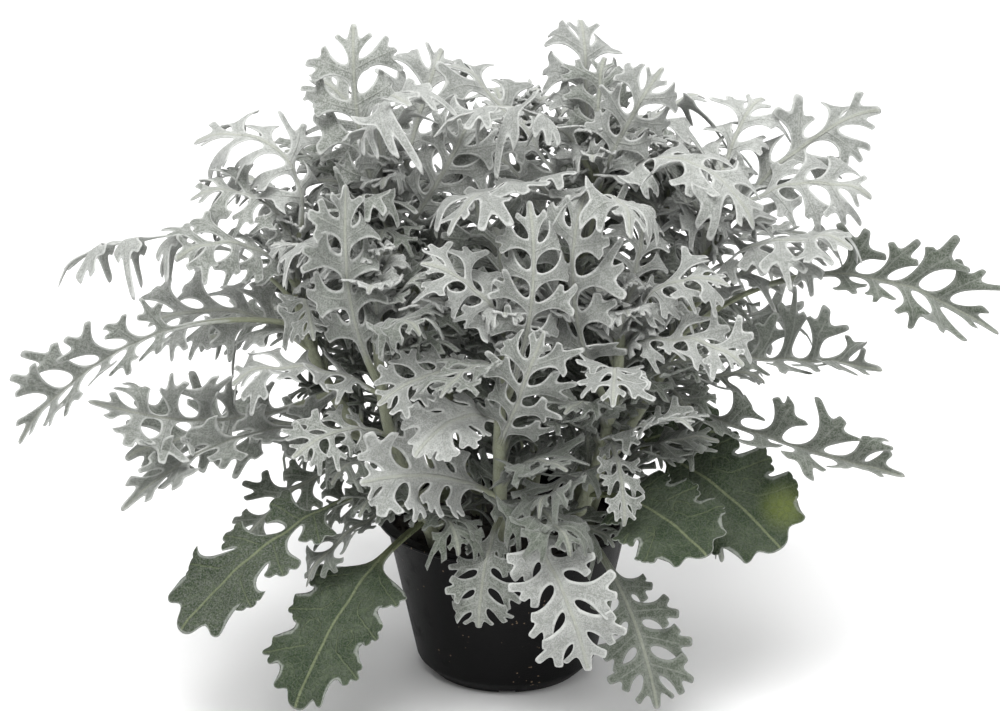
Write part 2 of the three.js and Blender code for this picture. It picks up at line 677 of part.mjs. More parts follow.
const oldSolids = OLD_LEAVES.map(([name, form, at, tip, options]) => {
  const shoot = shootNamed(name);
  const spec = leaf(form, at, tip, { curl: OLD_CURL, ...options });
  const whole = leafSolid(placeLeaf(spec, shoot, spec));
  return mainBody(whole.subtract(stemSolid(shoot, GAP)));
});
for (const shoot of SHOOTS) {
  for (const spec of shoot.leaves) grown.get(shoot).push(placeLeaf(spec, shoot, shoot));
}
for (const name of FILLED_SHOOTS) {
  const shoot = shootNamed(name);
  for (const spec of fillLeaves(shoot)) grown.get(shoot).push(placeLeaf(spec, shoot, shoot));
}

addPiece("pot", potSolid(), 0x1c1c1d, 0.6);
addPiece("soil", soilSolid(SHOOTS.map((shoot) => stemSolid(shoot, GAP))), 0x17120f, 0.95);
for (const shoot of SHOOTS) {
  let solid = stemSolid(shoot, 0);
  for (const laid of grown.get(shoot)) solid = solid.add(leafSolid(laid));
  addPiece(shoot.name, mainBody(solid), SILVER, 0.9);
}
oldSolids.forEach((solid, index) => {
  addPiece(`old_leaf_${index + 1}`, solid, OLD_GREEN, 0.75);
});

export default plant;
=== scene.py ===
# Potted dusty miller: a round black nursery pot of dark soil, ten woody shoots with felted silver
# leaves, and five older green leaves low on the plant. Tables are in millimetres, Blender in metres.
# Everything is one body, since a potted plant has no joint.

import math
import random

import bmesh
import bpy
from mathutils import Matrix, Vector, noise
from mathutils.bvhtree import BVHTree
from mathutils.kdtree import KDTree


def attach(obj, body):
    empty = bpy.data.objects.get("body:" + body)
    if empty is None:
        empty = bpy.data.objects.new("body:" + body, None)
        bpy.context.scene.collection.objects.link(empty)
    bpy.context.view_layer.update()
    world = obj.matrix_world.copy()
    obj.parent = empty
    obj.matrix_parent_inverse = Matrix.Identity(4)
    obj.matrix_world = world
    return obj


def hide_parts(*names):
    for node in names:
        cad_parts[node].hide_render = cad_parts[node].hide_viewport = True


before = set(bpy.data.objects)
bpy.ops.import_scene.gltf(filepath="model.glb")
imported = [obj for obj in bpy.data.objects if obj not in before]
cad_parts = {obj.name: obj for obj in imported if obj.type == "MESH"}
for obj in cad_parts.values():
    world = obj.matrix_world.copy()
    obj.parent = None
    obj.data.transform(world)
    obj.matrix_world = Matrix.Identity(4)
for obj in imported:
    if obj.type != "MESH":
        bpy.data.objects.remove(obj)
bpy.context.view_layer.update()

MM = 0.001


# ------------------------------ pot
# A thin-walled nursery pot, injection moulded in matte black plastic, with a flange rim, a
# slanted foot edge and six drain notches under the foot. Dust and specks of soil stick to it.

POT_HEIGHT = 70
RIM_RADIUS = 55
NECK_RADIUS = 51
FOOT_RADIUS = 38
FOOT_EDGE = 6
POT_WALL = 1.6
POT_FLOOR = 2
BASE_RADIUS = FOOT_RADIUS - FOOT_EDGE
ROUND_STEPS = 120
NOTCH = (7, 9, 3.2)         # width, depth and height of a drain notch
NOTCHES = 6
SHARP_EDGE = 32             # degrees past which an edge of the pot is crisp

# Half of the pot's section, from the middle of its underside round the wall to the inner floor.
POT_SECTION = [
    (0, 0.6), (24, 0.6), (26, 0), (BASE_RADIUS - 0.6, 0), (BASE_RADIUS + 0.4, 0.4),
    (FOOT_RADIUS - 0.4, FOOT_EDGE - 0.4), (FOOT_RADIUS + 0.2, FOOT_EDGE + 0.8),
    (NECK_RADIUS - 0.1, 66.6), (NECK_RADIUS + 0.5, 67.5), (RIM_RADIUS - 0.5, 68.4), (RIM_RADIUS, 68.8),
    (RIM_RADIUS, 69.6), (RIM_RADIUS - 0.5, POT_HEIGHT), (NECK_RADIUS, POT_HEIGHT),
    (NECK_RADIUS - POT_WALL + 0.2, 69.4), (NECK_RADIUS - POT_WALL, 68),
    (FOOT_RADIUS - POT_WALL, FOOT_EDGE), (BASE_RADIUS, POT_FLOOR), (0, POT_FLOOR),
]


class Signal:
    """A value or colour of a finish. Sums and products of signals add the nodes they need."""

    def __init__(self, tree, socket=None):
        self.tree = tree
        self.socket = socket

    def make(self, kind, inputs, settings=None, output=0):
        """Adds any node: its settings first, then what goes into its sockets."""
        node = self.tree.nodes.new(kind)
        for name, value in (settings or {}).items():
            setattr(node, name, value)
        for name, value in inputs.items():
            if isinstance(value, Signal):
                self.tree.links.new(value.socket, node.inputs[name])
            else:
                node.inputs[name].default_value = value
        return Signal(self.tree, node.outputs[output]) if node.outputs else None

    def maths(self, operation, *values):
        return self.make("ShaderNodeMath", dict(enumerate(values)), {"operation": operation})

    def __add__(self, other):
        return self.maths("ADD", self, other)

    def __sub__(self, other):
        return self.maths("SUBTRACT", self, other)

    def __rsub__(self, other):
        return self.maths("SUBTRACT", other, self)

    def __mul__(self, other):
        return self.maths("MULTIPLY", self, other)

    __radd__ = __add__
    __rmul__ = __mul__

    def between(self, low, high):
        """0 below low, 1 above high, with a soft step between them."""
        return self.make(
            "ShaderNodeMapRange", {"Value": self, "From Min": low, "From Max": high},
            {"interpolation_type": "SMOOTHSTEP"})

    def mixed(self, share, first, second):
        """The first colour where share is 0 and the second where it is 1."""
        colours = [c if isinstance(c, Signal) else (*c, 1) for c in (first, second)]
        return self.make(
            "ShaderNodeMix", {0: share, 6: colours[0], 7: colours[1]}, {"data_type": "RGBA"}, output=2)

    def under(self, *layers):
        """This colour under thin layers of others, each a share and a colour."""
        colour = self
        for share, tint in layers:
            colour = self.mixed(share, colour, tint)
        return colour

    def place(self):
        return self.make("ShaderNodeTexCoord", {}, output=3)

    def mottle(self, size, detail=3, roughness=0.5):
        """Soft noise with patches of that size in millimetres."""
        return self.make(
            "ShaderNodeTexNoise",
            {"Vector": self.place(), "Scale": 1 / (size * MM), "Detail": detail,
             "Roughness": roughness})

    def cells(self, size, **settings):
        """Distance to the middles, or as the settings say, of cells of that size in millimetres."""
        return self.make(
            "ShaderNodeTexVoronoi", {"Vector": self.place(), "Scale": 1 / (size * MM)}, settings)

    def relief(self, height, depth):
        """A normal that is bumped by height times depth, in millimetres."""
        return self.make("ShaderNodeBump", {"Strength": 1, "Distance": depth * MM, "Height": height})


def new_finish(name):
    material = bpy.data.materials.new(name)
    material.use_nodes = True
    material.node_tree.nodes.clear()
    return material, Signal(material.node_tree)


def coat(start, inputs):
    shader = start.make("ShaderNodeBsdfPrincipled", inputs)
    start.make("ShaderNodeOutputMaterial", {"Surface": shader})


def as_mesh(name, body):
    """Makes a bmesh a mesh."""
    mesh = bpy.data.meshes.new(name)
    body.to_mesh(mesh)
    body.free()
    return mesh


def set_out(name, data):
    """Puts a mesh, lamp or camera into the scene as an object."""
    item = bpy.data.objects.new(name, data)
    bpy.context.scene.collection.objects.link(item)
    return item


def new_piece(name, body, materials, nodes):
    """Makes a bmesh a piece of the plant that stands for CAD nodes."""
    mesh = as_mesh(name, body)
    mesh.shade_smooth()
    for material in materials:
        mesh.materials.append(material)
    piece = set_out(name, mesh)
    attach(piece, "root")
    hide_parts(*nodes)
    return piece


def turned(section, steps):
    """Turns half a section, given in millimetres, once round the pot's axis."""
    body = bmesh.new()
    verts = [body.verts.new((radius * MM, 0, height * MM)) for radius, height in section]
    edges = [body.edges.new(pair) for pair in zip(verts, verts[1:])]
    bmesh.ops.spin(
        body, geom=verts + edges, cent=(0, 0, 0), axis=(0, 0, 1), dvec=(0, 0, 0),
        angle=2 * math.pi, steps=steps, use_merge=True)
    bmesh.ops.remove_doubles(body, verts=body.verts, dist=0.01 * MM)
    bmesh.ops.recalc_face_normals(body, faces=body.faces)
    return body


def worn_in(piece):
    """Applies a piece's modifiers to its mesh."""
    shaped = bpy.data.meshes.new_from_object(
        piece.evaluated_get(bpy.context.evaluated_depsgraph_get()))
    piece.modifiers.clear()
    old = piece.data
    piece.data = shaped
    bpy.data.meshes.remove(old)


black_plastic, start = new_finish("matte_black_plastic")
dust = start.mottle(9, 5, 0.65).between(0.5, 0.78)
specks = start.cells(2.6)
speck_size = start.mottle(14, 2).between(0.45, 0.7) * 0.19
crumbs = 1 - start.maths("GREATER_THAN", specks, speck_size)
black = start.mixed(dust * 0.5, (0.002, 0.002, 0.0022), (0.009, 0.009, 0.0095))
grain = start.mottle(0.5, 2)
coat(start, {
    "Base Color": black.under((crumbs * 0.8, (0.17, 0.12, 0.08))),
    "Roughness": 0.42 + dust * 0.2 + grain * 0.1,
    "Normal": start.relief(grain + crumbs * 1.5, 0.12),
    "Specular IOR Level": 0.11,
})

notches = bmesh.new()
for number in range(NOTCHES):
    turn = Matrix.Rotation(2 * math.pi * number / NOTCHES, 4, "Z")
    out = Matrix.Translation((0, -BASE_RADIUS * MM, 0))
    size = Matrix.Diagonal((*(side * MM for side in NOTCH), 1))
    bmesh.ops.create_cube(notches, size=1, matrix=turn @ out @ size)
cutter = set_out("notch_cutter", as_mesh("notch_cutter", notches))

pot = new_piece("pot_shell", turned(POT_SECTION, ROUND_STEPS), [black_plastic], ["pot"])
cut = pot.modifiers.new("notches", "BOOLEAN")
cut.operation = "DIFFERENCE"
cut.solver = "EXACT"
cut.object = cutter
worn_in(pot)
bpy.data.objects.remove(cutter)
pot.data.shade_smooth()
pot.data.set_sharp_from_angle(angle=math.radians(SHARP_EDGE))


# ------------------------------ soil
# Damp peat soil, almost black, crumbly on top and a little higher in the middle. The stems
# stand in it.

SOIL_TOP = 62
SOIL_DOME = 3               # rise of the soil from the wall to the middle
SOIL_RADIUS = 47.3
SOIL_GAP = 0.3              # between the soil and the pot's floor
SOIL_RINGS = 26
SOIL_STEPS = 96
CLOD_SIZE = 6
CLOD_RISE = 1.1
CRUMB_COUNT = 700
CRUMB_RADIUS = (0.5, 1.7)

damp_soil, start = new_finish("damp_soil")
clods = start.mottle(5, 5, 0.7)
fibres = start.mottle(1.2, 4, 0.7).between(0.55, 0.75)
peat = start.mixed(clods.between(0.3, 0.7), (0.006, 0.0045, 0.0035), (0.028, 0.02, 0.014))
coat(start, {
    "Base Color": peat.under((fibres * 0.35, (0.07, 0.05, 0.033))),
    "Roughness": 0.95 - clods * 0.2,
    "Normal": start.relief(start.mottle(1.6, 5, 0.75), 0.8),
})

# The soil follows the pot's floor, foot edge and wall, and domes on top.
section = [
    (0, POT_FLOOR + SOIL_GAP), (BASE_RADIUS - 0.5, POT_FLOOR + SOIL_GAP),
    (FOOT_RADIUS - POT_WALL - 0.4, FOOT_EDGE + SOIL_GAP), (SOIL_RADIUS, SOIL_TOP)]
for ring in range(1, SOIL_RINGS + 1):
    inward = 1 - ring / SOIL_RINGS
    section.append((SOIL_RADIUS * inward, SOIL_TOP + SOIL_DOME * (1 - inward)))
soil = turned(section, SOIL_STEPS)
for vert in soil.verts:
    if vert.co.z > (SOIL_TOP + 0.02) * MM:
        clod = noise.fractal(vert.co / (CLOD_SIZE * MM), 1.0, 2.0, 4)
        vert.co.z += CLOD_RISE * MM * clod
luck = random.Random(7)
for crumb in range(CRUMB_COUNT):
    radius = SOIL_RADIUS * 0.97 * math.sqrt(luck.random())
    angle = luck.uniform(0, 2 * math.pi)
    height = SOIL_TOP + SOIL_DOME * (1 - radius / SOIL_RADIUS) + 0.2
    size = luck.uniform(*CRUMB_RADIUS) * luck.uniform(0.6, 1)
    stretch = Matrix.Diagonal((size * MM, size * luck.uniform(0.6, 1.2) * MM, size * 0.7 * MM, 1))
    spot = Matrix.Translation(
        (radius * math.cos(angle) * MM, radius * math.sin(angle) * MM, height * MM))
    twist = Matrix.Rotation(luck.uniform(0, 6), 4, Vector((luck.random(), luck.random(), 1)))
    bmesh.ops.create_icosphere(soil, subdivisions=1, radius=1, matrix=spot @ twist @ stretch)
new_piece("soil_bed", soil, [damp_soil], ["soil"])


# ------------------------------ silver shoots
# Ten woody shoots, each grown as one piece: a pale stem and its deeply cut leaves, whose lobes
# end in blunt fingers. A felt of white hairs covers them, thickest on edges, undersides and
# young leaves, and worn to grey-green on older ones.

STEM_RADII = (3.5, 2)       # at its foot and at its tip
STEM_FOOT = 52              # height of the stems' lower ends, in the soil
STEM_SIDES = 8
STEM_STEPS = 18
STEM_JOINTS = 0.07          # how much the joints swell and narrow a stem
STEM_AGE = 0.5              # of the felt at its foot

STALK = 2.6                 # thickness of a leaf stalk at the stem
BLADE = 0.72
FELT_EDGE = 0.95            # thickness of the felted edge of a blade
STALK_HALF_WIDTH = 1.75
NECK_HALF_WIDTH = 1.45      # of the stalk where the blade starts
LOBED_SHARE = 0.87          # share of a leaf's length at which its last side lobes end
TIP_SHARE = 0.85            # share of its length from which the tip bends down
HOOK_SHARE = 0.35           # share of a lobe from which it hooks down
CRUMPLE = 2.8               # height of the small buckles in a blade
GOLDEN_ANGLE = 137.5        # turn from one leaf of a shoot to the next


def leaf_form(widths, **shape):
    """The outline of a kind of leaf.

    bare: share of the length without lobes. pairs: side lobes on each side, and solid_pairs those
    of the solid leaf. angle: degrees between lobe and rib. reach: half width over length. widths:
    of a lobe at its root, at its narrowest and at its widest, over the room for one. swell: share
    of full length that the first and last lobes have. fingers: length over the lobe's and heading,
    for the rear, middle and front. web: half width of the blade along the rib. body: whole part
    of the half width, at the first and last lobes. blunt: width of a finger's end over its root's.
    """
    opening, neck, head = widths
    return {
        "opening": opening, "neck": neck, "head": head, "solid_pairs": shape["pairs"], "web": 1,
        "body": (0, 0), "blunt": 1.1, **shape,
    }


FORMS = {
    "long": leaf_form(
        bare=0.22, pairs=5, angle=60, reach=0.23, widths=(0.42, 0.3, 0.74), swell=(0.6, 0.62),
        web=0.9, blunt=1.05, fingers=((0.28, -52), (0.42, -6), (0.38, 42))),
    "lacy": leaf_form(
        bare=0.22, pairs=4, angle=60, reach=0.25, widths=(0.42, 0.3, 0.74), swell=(0.6, 0.66),
        blunt=1.05, fingers=((0.3, -52), (0.42, -6), (0.38, 42))),
    "broad": leaf_form(
        bare=0.24, pairs=4, angle=64, reach=0.26, widths=(0.58, 0.46, 0.82), swell=(0.6, 0.75),
        web=1.8, blunt=1.05, fingers=((0.3, -50), (0.38, -4), (0.36, 42))),
    "hero": leaf_form(
        bare=0.24, pairs=4, angle=64, reach=0.26, widths=(0.7, 0.58, 0.98), swell=(0.6, 0.75), web=3,
        fingers=((0.3, -46), (0.34, -2), (0.32, 40))),
    "small": leaf_form(
        bare=0.16, pairs=4, angle=56, reach=0.27, solid_pairs=3, widths=(0.5, 0.36, 0.74),
        swell=(0.7, 0.75), fingers=((0.3, -54), (0.42, -4), (0.38, 44))),
    "scalloped": leaf_form(
        bare=0.16, pairs=3, angle=56, reach=0.27, widths=(0.8, 0.72, 0.98), swell=(0.7, 0.75), web=2,
        body=(0.2, 0.4), blunt=0.95, fingers=((0.2, -40), (0.26, 0), (0.22, 36))),
    "plain": leaf_form(
        bare=0.2, pairs=5, angle=58, reach=0.27, solid_pairs=3, widths=(0.46, 0.34, 0.74),
        swell=(0.6, 0.66), fingers=((0.3, -56), (0.42, -4), (0.38, 44))),
    "young": leaf_form(
        bare=0.1, pairs=3, angle=54, reach=0.36, widths=(0.7, 0.56, 0.86), swell=(0.8, 0.8), web=1.2,
        fingers=((0.26, -46), (0.36, -4), (0.3, 44))),
}


# How a leaf's rib bends and leans, how its blade is turned, folded and curled, its width, its
# bare share, its age and how far its lobes hook. Its form or place decides where it says None.
PLAIN_LEAF = {
    "arch": 8, "sway": 0, "toward": None, "roll": 0, "fold": 0, "curl": 0.3, "width": 1,
    "bare": None, "age": None, "hook": None,
}


def leaf(form, at, tip, **bends):
    """A leaf of a form, with its root's place along the stem and its tip's place."""
    return {**PLAIN_LEAF, "form": form, "at": at, "tip": Vector(tip), **bends}


# Each stem curves from its foot in the soil, past two points that pull it, to its tip.
STEMS = {
    "shoot_left": [(-30, -5), (-32, -6, 100), (-86, -30, 112), (-88, 4, 187)],
    "shoot_front_left": [(-27, -27), (-28, -30, 85), (-56, -46, 100), (-52, -42, 186)],
    "shoot_front": [(-1, -33), (-2, -40, 85), (-6, -62, 125), (0, -52, 172)],
    "shoot_front_right": [(26, -25), (27, -32, 90), (44, -50, 110), (46, -46, 172)],
    "shoot_right": [(32, 0), (36, -4, 110), (76, -14, 130), (83, 6, 194)],
    "shoot_top": [(9, 6), (10, 6, 120), (30, 10, 160), (38, 2, 222)],
    "shoot_upper_left": [(-11, 9), (-14, 10, 120), (-44, 12, 150), (-50, 8, 208)],
    "shoot_back_left": [(-24, 24), (-30, 32, 100), (-66, 60, 130), (-70, 66, 190)],
    "shoot_back": [(3, 34), (4, 44, 110), (10, 62, 150), (8, 66, 215)],
    "shoot_back_right": [(27, 22), (32, 30, 100), (64, 56, 130), (70, 62, 196)],
}

LEAVES = {
    "shoot_left": [
        leaf("small", 0.88, (-186, -20, 184), arch=24, roll=30, width=0.6, bare=0.3, hook=2.6),
        leaf("long", 0.84, (-200, -60, 125), arch=22, roll=-45, fold=50, bare=0.4, width=0.72,
             age=0.5),
        leaf("long", 0.66, (-166, -60, 144), arch=-10, roll=-50, fold=38, age=0.4),
        leaf("small", 0.5, (-156, -45, 114), width=0.8, roll=-30, age=0.6),
        leaf("small", 0.46, (-158, -66, 95), arch=18, width=0.5, fold=50, roll=-30, age=0.5),
        leaf("lacy", 0.97, (-130, 20, 230), arch=28, roll=-20),
        leaf("small", 0.95, (-130, -8, 214), arch=16, roll=-25, age=0.35),
        leaf("small", 0.92, (-134, -30, 206), arch=12, roll=-30, age=0.45),
        leaf("small", 0.42, (-114, -45, 73), arch=10, width=0.7, age=0.95),
        leaf("small", 0.9, (-78, -52, 168), arch=6, toward=250, age=0.4),
        leaf("small", 0.78, (-146, -8, 162), arch=12, roll=-20, width=1.2),
    ],
    "shoot_front_left": [
        leaf("broad", 0.8, (-62, -40, 232), arch=10, toward=90, width=0.8, sway=6, age=0.5),
        leaf("small", 0.4, (-84, -66, 64), width=0.7, age=0.9),
        leaf("small", 0.78, (-112, -56, 152), roll=-30),
        leaf("lacy", 0.66, (-86, -82, 128), roll=-30),
        leaf("small", 0.97, (-84, -60, 204), arch=10, toward=180),
    ],
    "shoot_front": [
        leaf("hero", 0.36, (33, -90, 38), arch=26, toward=278, width=0.92, curl=0.1, bare=0.3,
             age=0.1, hook=0.3),
        leaf("hero", 0.32, (-12, -72, 47), arch=15, toward=262, width=1.1, curl=0.1, age=0.55),
        leaf("hero", 0.4, (-62, -80, 114), arch=6, roll=-45, width=1.15, age=0.15, hook=0.4),
        leaf("scalloped", 0.7, (-37, -88, 132), arch=9, roll=-30, width=1.25, age=0, hook=0.35),
        leaf("broad", 0.86, (-52, -80, 151), roll=-35),
        leaf("long", 0.74, (9, -60, 230), arch=10, toward=95, width=0.85, sway=-5),
        leaf("small", 0.62, (14, -80, 182), toward=80),
        leaf("small", 0.97, (-30, -75, 209), toward=150),
    ],
    "shoot_front_right": [
        leaf("hero", 0.24, (56, -84, 17), arch=18, toward=285, width=0.85, bare=0.36, age=1.0,
             hook=0.3),
        leaf("small", 0.66, (47, -78, 93), arch=12, width=0.7),
        leaf("lacy", 0.76, (22, -66, 230), arch=6, toward=80, width=0.9, sway=8),
        leaf("small", 0.6, (76, -84, 131), arch=6, roll=20),
        leaf("small", 0.97, (89, -60, 196), arch=10, roll=20),
        leaf("small", 0.93, (95, -72, 166), roll=25),
        leaf("small", 0.84, (30, -98, 160), arch=10),
        leaf("plain", 0.92, (60, -28, 216), arch=6, toward=90),
    ],
    "shoot_right": [
        leaf("lacy", 0.9, (153, 20, 242), arch=12, roll=25, width=0.8, age=0.3),
        leaf("lacy", 0.96, (150, -12, 218), arch=14, roll=20),
        leaf("small", 0.88, (139, -42, 206), roll=25),
        leaf("lacy", 0.72, (198, -36, 164), arch=27, roll=50, fold=40, bare=0.5, width=0.75, age=0.85),
        leaf("long", 0.66, (150, -50, 155), arch=1, roll=40, fold=50, width=1.1, age=0.8),
        leaf("lacy", 0.55, (161, -56, 110), arch=-4, roll=40, fold=50, width=0.8, age=0.8),
        leaf("small", 0.2, (92, -22, 56), arch=16, width=0.7),
        leaf("small", 0.98, (112, 30, 240), toward=60),
        leaf("plain", 0.5, (104, -22, 134), arch=6, roll=30),
        leaf("small", 0.8, (136, -8, 184), roll=30),
    ],
    "shoot_top": [
        leaf("lacy", 0.8, (-28, 30, 262), arch=10, toward=150),
        leaf("broad", 0.9, (32, 30, 279), arch=5, toward=85),
        leaf("small", 0.93, (60, -4, 270), arch=6, toward=60),
        leaf("small", 0.9, (84, 30, 244)),
        leaf("broad", 0.86, (104, -22, 222), arch=28, roll=25),
        leaf("lacy", 0.95, (-34, -32, 252), arch=20, toward=215, width=0.8),
        leaf("small", 0.84, (-25, -66, 228), arch=18, width=0.9),
        leaf("lacy", 0.75, (64, -76, 214), arch=18, toward=290),
        leaf("plain", 0.36, (52, 36, 132), arch=6),
        leaf("plain", 0.58, (66, 8, 188), arch=6),
        leaf("plain", 0.7, (-26, 24, 238)),
        leaf("plain", 0.46, (-14, -10, 212), arch=6, toward=90),
        leaf("plain", 0.16, (34, -12, 116), arch=4, toward=90),
    ],
    "shoot_upper_left": [
        leaf("lacy", 0.9, (-62, 12, 281), arch=10, toward=95, width=1.05, sway=6, age=0.4),
        leaf("small", 0.95, (-30, -34, 268), arch=14, toward=300),
        leaf("small", 0.88, (-88, 22, 250), arch=10, toward=165, age=0.35),
        leaf("small", 0.84, (-66, -42, 222), arch=14, toward=250, age=0.5),
        leaf("small", 0.9, (-30, 52, 262), toward=80),
        leaf("plain", 0.3, (-48, 36, 120), arch=6),
        leaf("plain", 0.42, (-4, -12, 158), arch=6),
        leaf("plain", 0.66, (-8, 26, 206), arch=6),
        leaf("plain", 0.5, (-42, -18, 186), arch=6, toward=90),
        leaf("plain", 0.86, (-20, 4, 250), arch=6, toward=90),
    ],
    "shoot_back_left": [leaf("plain", 0.22, (-92, 26, 84), arch=6)],
    "shoot_back": [leaf("plain", 0.24, (62, 50, 98)), leaf("plain", 0.18, (-56, 54, 90))],
    "shoot_back_right": [leaf("plain", 0.22, (98, 22, 80), arch=6)],
}


def stem_point(name, share):
    """The point of a shoot's stem at that share of its curve, from its foot to its tip."""
    foot, *others = STEMS[name]
    knots = [Vector((*foot, STEM_FOOT))] + [Vector(knot) for knot in others]
    rest = 1 - share
    weights = [rest ** 3, 3 * share * rest ** 2, 3 * share ** 2 * rest, share ** 3]
    return sum((knot * weight for knot, weight in zip(knots, weights)), Vector())


def part_way(ends, share):
    return ends[0] + (ends[1] - ends[0]) * share


def direction(heading, climb):
    """The way that heads so far round the plant and climbs so far from the level, in radians."""
    return Vector((
        math.cos(climb) * math.cos(heading), math.cos(climb) * math.sin(heading), math.sin(climb)))


# The leaves behind follow a rule: a golden turn from leaf to leaf, long and low ones at the foot
# of the shoot, short and steep ones at its tip.
BACK_LEAVES = 5
BACK_ROOTS = (0.32, 0.97)   # shares of the stem's length between which they leave it
BACK_SPREAD = 0.42          # of the golden turn, so that they head away from the middle
BACK_CLIMB = (2, 72)        # degrees
BACK_LENGTH = (118, 62)

for name in ("shoot_back_left", "shoot_back", "shoot_back_right"):
    outward = math.atan2(STEMS[name][3][1], STEMS[name][3][0])
    for number in range(BACK_LEAVES):
        share = (number + 0.5) / BACK_LEAVES
        at = part_way(BACK_ROOTS, share)
        turn = (GOLDEN_ANGLE * number + 180) % 360 - 180
        heading = outward + math.radians(turn * BACK_SPREAD)
        climb = math.radians(part_way(BACK_CLIMB, share ** 1.5))
        length = part_way(BACK_LENGTH, share) * (1 - 0.25 * abs(turn) / 180)
        tip = stem_point(name, at) + direction(heading, climb) * length
        LEAVES[name].append(leaf("plain", at, tip, arch=length * 0.16))


class Rib:
    """The arched rib of a leaf, from its root on the stem to its tip, and the blade round it."""

    def __init__(self, spec, root, tip, roll):
        form = FORMS[spec["form"]]
        chord = tip - root
        if spec["toward"] is None:
            lean = Vector((chord.x, chord.y, 0)).normalized()
        else:
            lean = direction(math.radians(spec["toward"]), 0)
        self.across = Vector((0, 0, 1)).cross(lean)
        bulge = chord.normalized().cross(self.across).normalized()
        middle = (root + tip) / 2 + bulge * spec["arch"] + self.across * spec["sway"]
        self.knots = [root, middle * 2 - (root + tip) / 2, tip]
        self.length = (middle - root).length + (tip - middle).length
        self.half_width = form["reach"] * self.length * spec["width"]
        self.blade_start = (spec["bare"] or form["bare"]) * self.length
        self.fold = math.radians(spec["fold"])
        self.curl = spec["curl"]
        self.roll = math.radians(roll)

    def place(self, along, aside, lift=0):
        """The point of the blade at that distance along the rib and aside from it."""
        share = min(along / self.length, 1)
        root, control, tip = self.knots
        spot = root * (1 - share) ** 2 + control * (2 * share * (1 - share)) + tip * share ** 2
        way = ((control - root) * (1 - share) + (tip - control) * share).normalized()
        side = (self.across - way * self.across.dot(way)).normalized()
        up = way.cross(side)
        turn = self.roll * min(along / self.blade_start, 1)
        turned_side = side * math.cos(turn) + up * math.sin(turn)
        turned_up = up * math.cos(turn) - side * math.sin(turn)
        offset = abs(aside) / self.half_width
        rise = abs(aside) * math.sin(self.fold) + self.curl * self.half_width * offset ** 2
        return (
            spot + way * max(along - self.length, 0)
            + turned_side * (aside * math.cos(self.fold)) + turned_up * (rise + lift))

    def fullness(self, along, swell):
        share = min(max((along - self.blade_start) / (self.length - self.blade_start), 0), 1)
        if share < 0.5:
            return swell[0] + (1 - swell[0]) * share * 2
        return 1 + (swell[1] - 1) * (share * 2 - 1)


FEEL_REACH = 6              # how far a feeler feels for the solid leaf
SHIFTS = (0, 6, 12, 18, 24)     # how far the solid leaf's tip may have moved
SHIFT_WAYS = 8
TURNS = (0, -18, 18)        # and its blade turned, in degrees


def feelers(rib, form):
    """Points on the rib and in the lobes of a leaf, to feel for the solid leaf with."""
    points = [rib.place(rib.length * share, 0) for share in (0.35, 0.6, 0.8, 1)]
    room = (LOBED_SHARE * rib.length - rib.blade_start) / form["solid_pairs"]
    lean = math.radians(form["angle"])
    for pair in range(form["solid_pairs"]):
        centre = rib.blade_start + room * (pair + 0.5)
        reach = rib.half_width * rib.fullness(centre, form["swell"]) * 0.8
        for side in (-1, 1):
            points.append(rib.place(centre + reach / math.tan(lean), side * reach))
    return points


def find_rib(spec, shoot, surface):
    """The rib that lies nearest to the solid, whose leaves have moved a little to find room."""
    root = stem_point(shoot, spec["at"])
    chord = (spec["tip"] - root).normalized()
    sideways = Vector((0, 0, 1)).cross(chord).normalized()
    upward = chord.cross(sideways)
    best = None
    for shift in SHIFTS:
        for step in range(SHIFT_WAYS if shift else 1):
            angle = math.radians(360 / SHIFT_WAYS * step)
            tip = spec["tip"] + sideways * (shift * math.cos(angle))
            tip += upward * (shift * math.sin(angle))
            for turn in TURNS:
                rib = Rib(spec, root, tip, spec["roll"] + turn)
                points = feelers(rib, FORMS[spec["form"]])
                misses = [surface.find_nearest(point, FEEL_REACH)[3] or FEEL_REACH for point in points]
                miss = sum(misses) / len(points)
                if best is None or miss < best[0]:
                    best = (miss, rib)
    return best[1]


def grow(net, row, places):
    """Extrudes the edges that join a row of points, and gives the new row its places."""
    edges = [net.edges.get(pair) for pair in zip(row, row[1:])]
    made = bmesh.ops.extrude_edge_only(net, edges=edges)["geom"]
    fresh = {part for part in made if isinstance(part, bmesh.types.BMVert)}
    grown = []
    for vert, place in zip(row, places):
        twin = next(e.other_vert(vert) for e in vert.link_edges if e.other_vert(vert) in fresh)
        twin.co = place
        grown.append(twin)
    return grown


def split(net, rear, front, share):
    """A new point on the edge between two others."""
    return bmesh.utils.edge_split(net.edges.get((rear, front)), rear, share)[1]


# How much longer or shorter than its form's a lobe's three fingers are.
FINGER_SHARES = ((0.4, 1.2, 1.1), (1.1, 1.15, 0.95), (0.85, 1.25, 0.6), (1.25, 0.9, 1.2))


